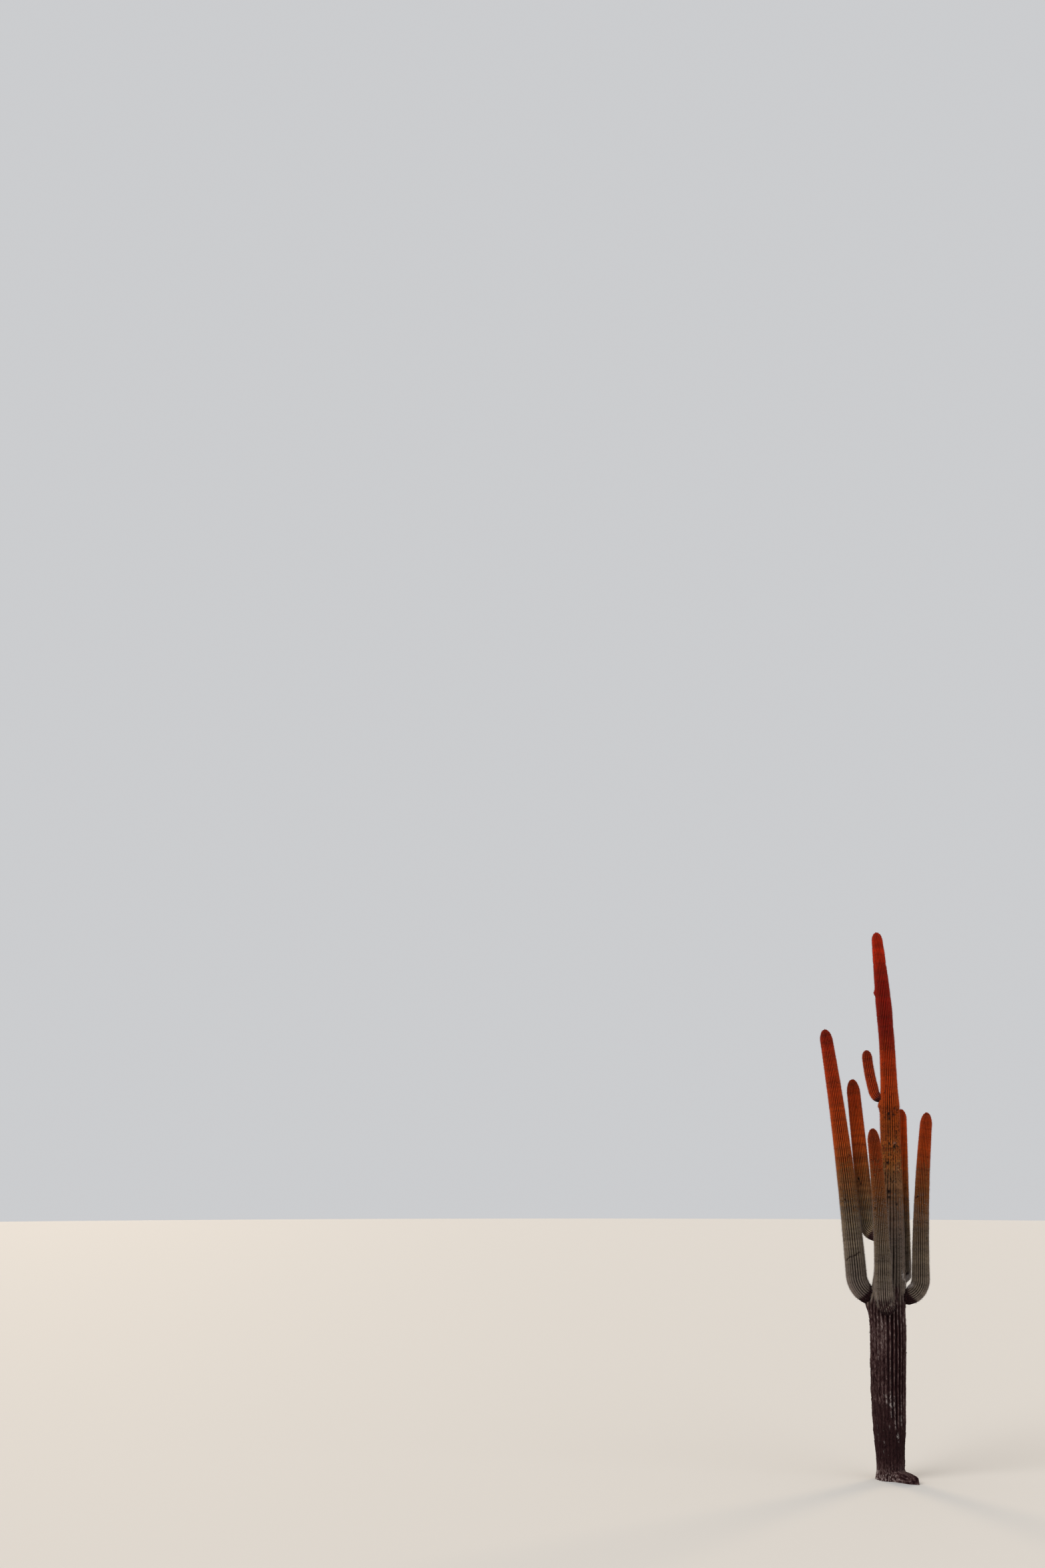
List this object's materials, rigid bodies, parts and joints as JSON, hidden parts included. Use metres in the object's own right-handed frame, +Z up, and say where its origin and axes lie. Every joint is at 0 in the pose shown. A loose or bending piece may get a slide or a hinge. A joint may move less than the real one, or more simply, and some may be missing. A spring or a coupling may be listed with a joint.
{
  "type": "saguaro cactus",
  "caption": "Tall ribbed columnar cactus with upturned arms at several heights, a dark corky lower trunk, a blunt root at its foot and a flat cut at ground level.",
  "frame": {"origin": "middle of the flat cut under the trunk, at ground level", "axes": "+Z straight up, -Y towards the front, +X to the right seen from the front"},
  "size_m": [1.8111, 1.2502, 9],
  "materials": {
    "trunk_bark": "matt ribbed skin, olive above and grey-brown cork below",
    "arm_skin": "matt to waxy ribbed skin, grey-green to olive, rust-brown at the tips",
    "spines": "dry matt spines, straw to rust, greying with age"
  },
  "bodies": {
    "root": {"trunk": "trunk_bark", "arm_left_elbow": "arm_skin", "arm_left": "arm_skin", "arm_left_rear_elbow": "arm_skin", "arm_left_rear": "arm_skin", "arm_front_elbow": "arm_skin", "arm_front": "arm_skin", "arm_right_elbow": "arm_skin", "arm_right": "arm_skin", "arm_right_rear_elbow": "arm_skin", "arm_right_rear": "arm_skin", "arm_upper_elbow": "arm_skin", "arm_upper": "arm_skin"}
  },
  "joints": []
}
